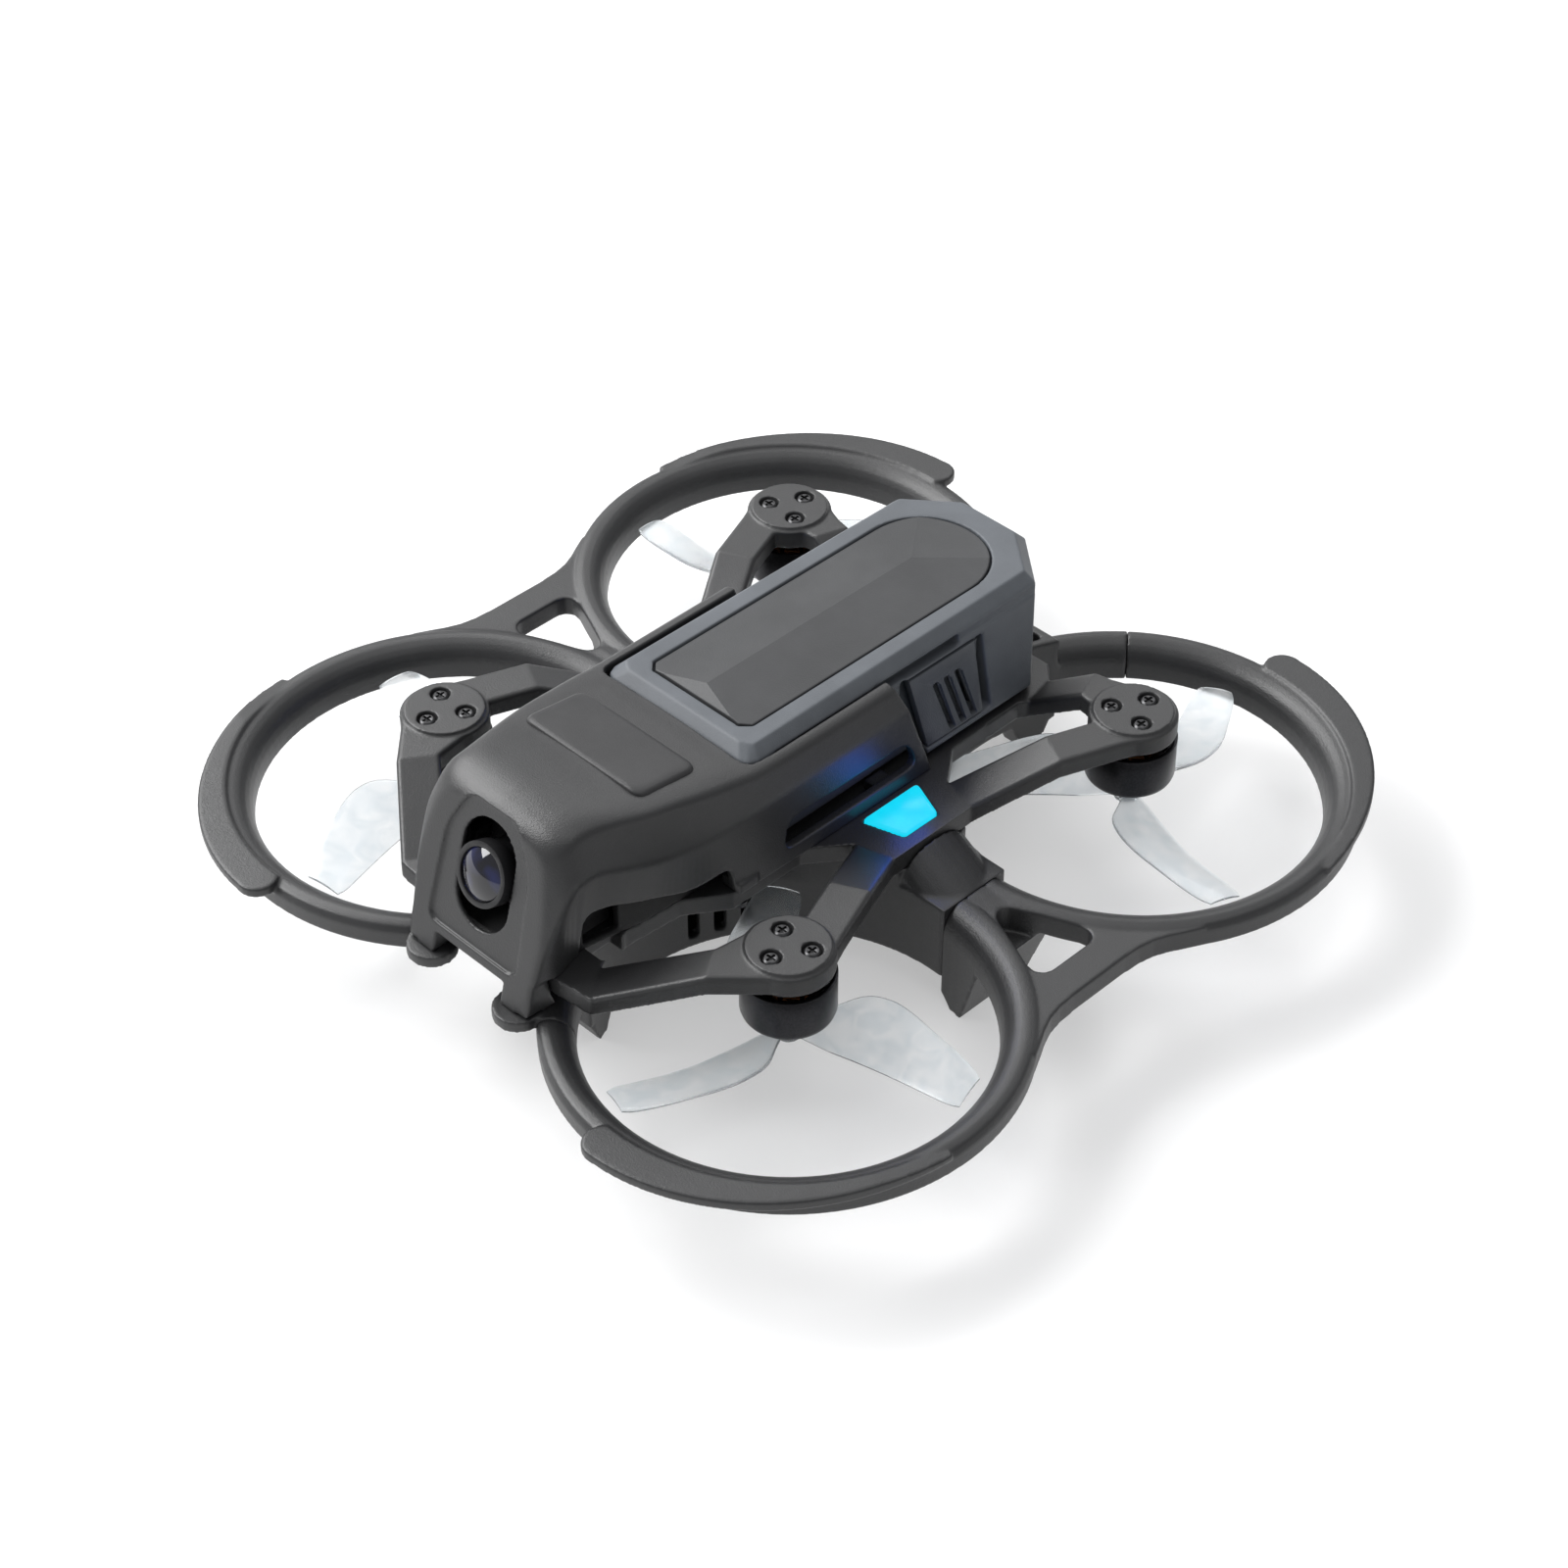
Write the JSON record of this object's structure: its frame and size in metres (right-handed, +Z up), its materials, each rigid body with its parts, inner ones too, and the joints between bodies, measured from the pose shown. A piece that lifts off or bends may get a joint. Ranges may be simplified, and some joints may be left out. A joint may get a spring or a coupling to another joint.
{
  "type": "fpv racing drone",
  "caption": "Compact ducted racing drone: under-slung motors in guard rings, armoured body, tilting lens, side lights and slide-in battery.",
  "frame": {"origin": "on the floor, below the centre of the motor square", "axes": "+Z up, nose and lens towards -Y, battery slides out towards +Y, the drone's left side is +X"},
  "size_m": [0.1596, 0.1676, 0.0521],
  "materials": {
    "body_plastic": "satin, fine grain",
    "badge_panel": "satin",
    "housing_plastic": "matte",
    "camera_shell": "semi-gloss",
    "lens_glass": "coated lens",
    "circuit_board": "solder mask",
    "connector_plastic": "matte",
    "connector_metal": "plated",
    "light_lens": "lit, translucent",
    "battery_shell": "satin, fine grain",
    "battery_panel": "satin",
    "battery_grip": "matte",
    "cell_wrap": "shrink film",
    "spacer_brass": "turned",
    "grommet_rubber": "matte",
    "screw_steel": "plated",
    "stator_steel": "laminated",
    "copper_wire": "enamelled copper",
    "motor_black": "satin anodised",
    "magnet_nickel": "nickel plated",
    "shaft_steel": "ground",
    "clear_blade": "clear polycarbonate, slightly frosted"
  },
  "bodies": {
    "airframe": {"duct_pair_left": "body_plastic", "duct_pair_right": "body_plastic", "lower_chassis": "body_plastic", "motor_frame": "body_plastic", "canopy": "body_plastic", "badge_plate": "badge_panel", "inner_housing": "housing_plastic", "camera_bracket": "housing_plastic", "flight_board": "circuit_board", "video_board": "circuit_board", "light_board_left": "circuit_board", "light_board_right": "circuit_board", "battery_socket": "connector_plastic", "usb_port": "connector_metal", "light_guide_left": "light_lens", "light_guide_right": "light_lens", "board_spacers": "spacer_brass", "grommets": "grommet_rubber", "motor_screws": "screw_steel", "chassis_screws": "screw_steel", "canopy_screws": "screw_steel", "camera_screws": "screw_steel", "board_screws": "screw_steel", "stator_front_right": "stator_steel", "windings_front_right": "copper_wire", "stator_front_left": "stator_steel", "windings_front_left": "copper_wire", "stator_rear_left": "stator_steel", "windings_rear_left": "copper_wire", "stator_rear_right": "stator_steel", "windings_rear_right": "copper_wire"},
    "rotor_front_right": {"bell_front_right": "motor_black", "magnets_front_right": "magnet_nickel", "motor_shaft_front_right": "shaft_steel", "propeller_front_right": "clear_blade"},
    "rotor_front_left": {"bell_front_left": "motor_black", "magnets_front_left": "magnet_nickel", "motor_shaft_front_left": "shaft_steel", "propeller_front_left": "clear_blade"},
    "rotor_rear_left": {"bell_rear_left": "motor_black", "magnets_rear_left": "magnet_nickel", "motor_shaft_rear_left": "shaft_steel", "propeller_rear_left": "clear_blade"},
    "rotor_rear_right": {"bell_rear_right": "motor_black", "magnets_rear_right": "magnet_nickel", "motor_shaft_rear_right": "shaft_steel", "propeller_rear_right": "clear_blade"},
    "camera": {"camera_body": "camera_shell", "lens_barrel": "camera_shell", "lens_glass": "lens_glass"},
    "battery": {"battery_case": "battery_shell", "battery_inlay": "battery_panel", "battery_cells": "cell_wrap", "battery_plug": "connector_plastic", "battery_board": "circuit_board"},
    "latch_left": {"battery_latch_left": "battery_grip"},
    "latch_right": {"battery_latch_right": "battery_grip"}
  },
  "joints": [
    {"name": "spin_front_right", "type": "hinge", "parent": "airframe", "child": "rotor_front_right", "pos_m": [-0.0404, -0.0404, 0.0193], "axis": [0, 0, 1], "continuous": true},
    {"name": "spin_front_left", "type": "hinge", "parent": "airframe", "child": "rotor_front_left", "pos_m": [0.0404, -0.0404, 0.0193], "axis": [0, 0, 1], "continuous": true},
    {"name": "spin_rear_left", "type": "hinge", "parent": "airframe", "child": "rotor_rear_left", "pos_m": [0.0404, 0.0404, 0.0193], "axis": [0, 0, 1], "continuous": true},
    {"name": "spin_rear_right", "type": "hinge", "parent": "airframe", "child": "rotor_rear_right", "pos_m": [-0.0404, 0.0404, 0.0193], "axis": [0, 0, 1], "continuous": true},
    {"name": "camera_tilt", "type": "hinge", "parent": "airframe", "child": "camera", "pos_m": [0, -0.056, 0.035], "axis": [-1, 0, 0], "range_deg": [-15, 15]},
    {"name": "battery_release", "type": "slide", "parent": "airframe", "child": "battery", "axis": [0, 1, 0], "range_m": [0, 0.03]},
    {"name": "latch_press_left", "type": "hinge", "parent": "battery", "child": "latch_left", "pos_m": [0.0156, 0.0272, 0.036], "axis": [0, 0, -1], "range_deg": [0, 4], "stiffness_Nm_per_rad": 0.4},
    {"name": "latch_press_right", "type": "hinge", "parent": "battery", "child": "latch_right", "pos_m": [-0.0156, 0.0272, 0.036], "axis": [0, 0, 1], "range_deg": [0, 4], "stiffness_Nm_per_rad": 0.4}
  ]
}
